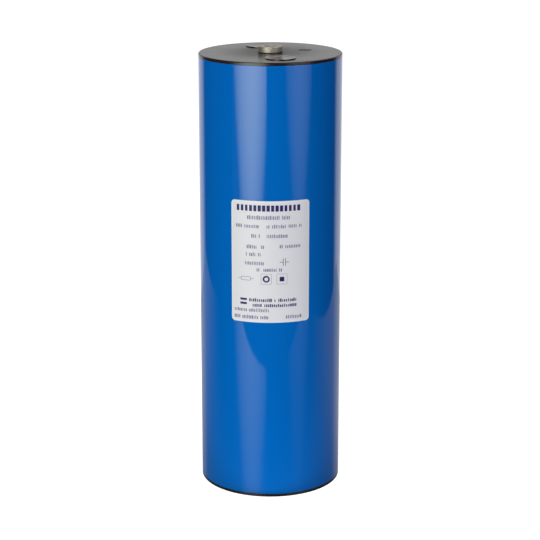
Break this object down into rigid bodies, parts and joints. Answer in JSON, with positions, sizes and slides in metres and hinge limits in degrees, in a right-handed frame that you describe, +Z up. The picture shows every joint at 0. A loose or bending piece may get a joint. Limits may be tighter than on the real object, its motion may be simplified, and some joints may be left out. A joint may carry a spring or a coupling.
{
  "type": "surge capacitor",
  "caption": "Dry-type surge capacitor: glossy blue tube closed by flat dark covers, with an axial female terminal at each end and a nameplate on the front.",
  "frame": {"origin": "centre of the bottom cover's outer face, on the resting plane", "axes": "+Z up the tube's axis towards the top terminal, -Y towards the nameplate"},
  "size_m": [0.116, 0.1161, 0.365],
  "materials": {
    "blue_tube": "high gloss paint",
    "cover_plastic": "fine moulded grain, satin",
    "nickel_brass": "nickel plated, turned",
    "seal_rubber": "matt",
    "zinc_steel": "zinc plated",
    "tinned_copper": "tinned",
    "bright_brass": "turned",
    "film_roll": "wound film, ends sprayed with grey zinc",
    "core_plastic": "moulded",
    "resistor_ceramic": "coated",
    "sleeve_board": "pressboard",
    "stand_plastic": "moulded",
    "casting_resin": "glossy as cast",
    "nameplate_film": "satin film",
    "print_navy": "printed",
    "print_grey": "printed"
  },
  "bodies": {
    "root": {"case_tube": "blue_tube", "top_cover": "cover_plastic", "bottom_cover": "cover_plastic", "top_terminal": "nickel_brass", "bottom_terminal": "nickel_brass", "top_seal": "seal_rubber", "bottom_seal": "seal_rubber", "top_washer": "zinc_steel", "bottom_washer": "zinc_steel", "top_lead": "tinned_copper", "bottom_lead": "tinned_copper", "top_lock_washer": "zinc_steel", "bottom_lock_washer": "zinc_steel", "top_nut": "bright_brass", "bottom_nut": "bright_brass", "winding_1": "film_roll", "winding_2": "film_roll", "winding_3": "film_roll", "winding_4": "film_roll", "winding_5": "film_roll", "winding_6": "film_roll", "core_1": "core_plastic", "core_2": "core_plastic", "core_3": "core_plastic", "core_4": "core_plastic", "core_5": "core_plastic", "core_6": "core_plastic", "resistor_1": "resistor_ceramic", "resistor_2": "resistor_ceramic", "resistor_3": "resistor_ceramic", "resistor_4": "resistor_ceramic", "resistor_5": "resistor_ceramic", "resistor_6": "resistor_ceramic", "jumper_1": "tinned_copper", "jumper_2": "tinned_copper", "jumper_3": "tinned_copper", "jumper_4": "tinned_copper", "jumper_5": "tinned_copper", "stack_sleeve": "sleeve_board", "top_stand": "stand_plastic", "bottom_stand": "stand_plastic", "potting_resin": "casting_resin", "nameplate": "nameplate_film"}
  },
  "joints": []
}
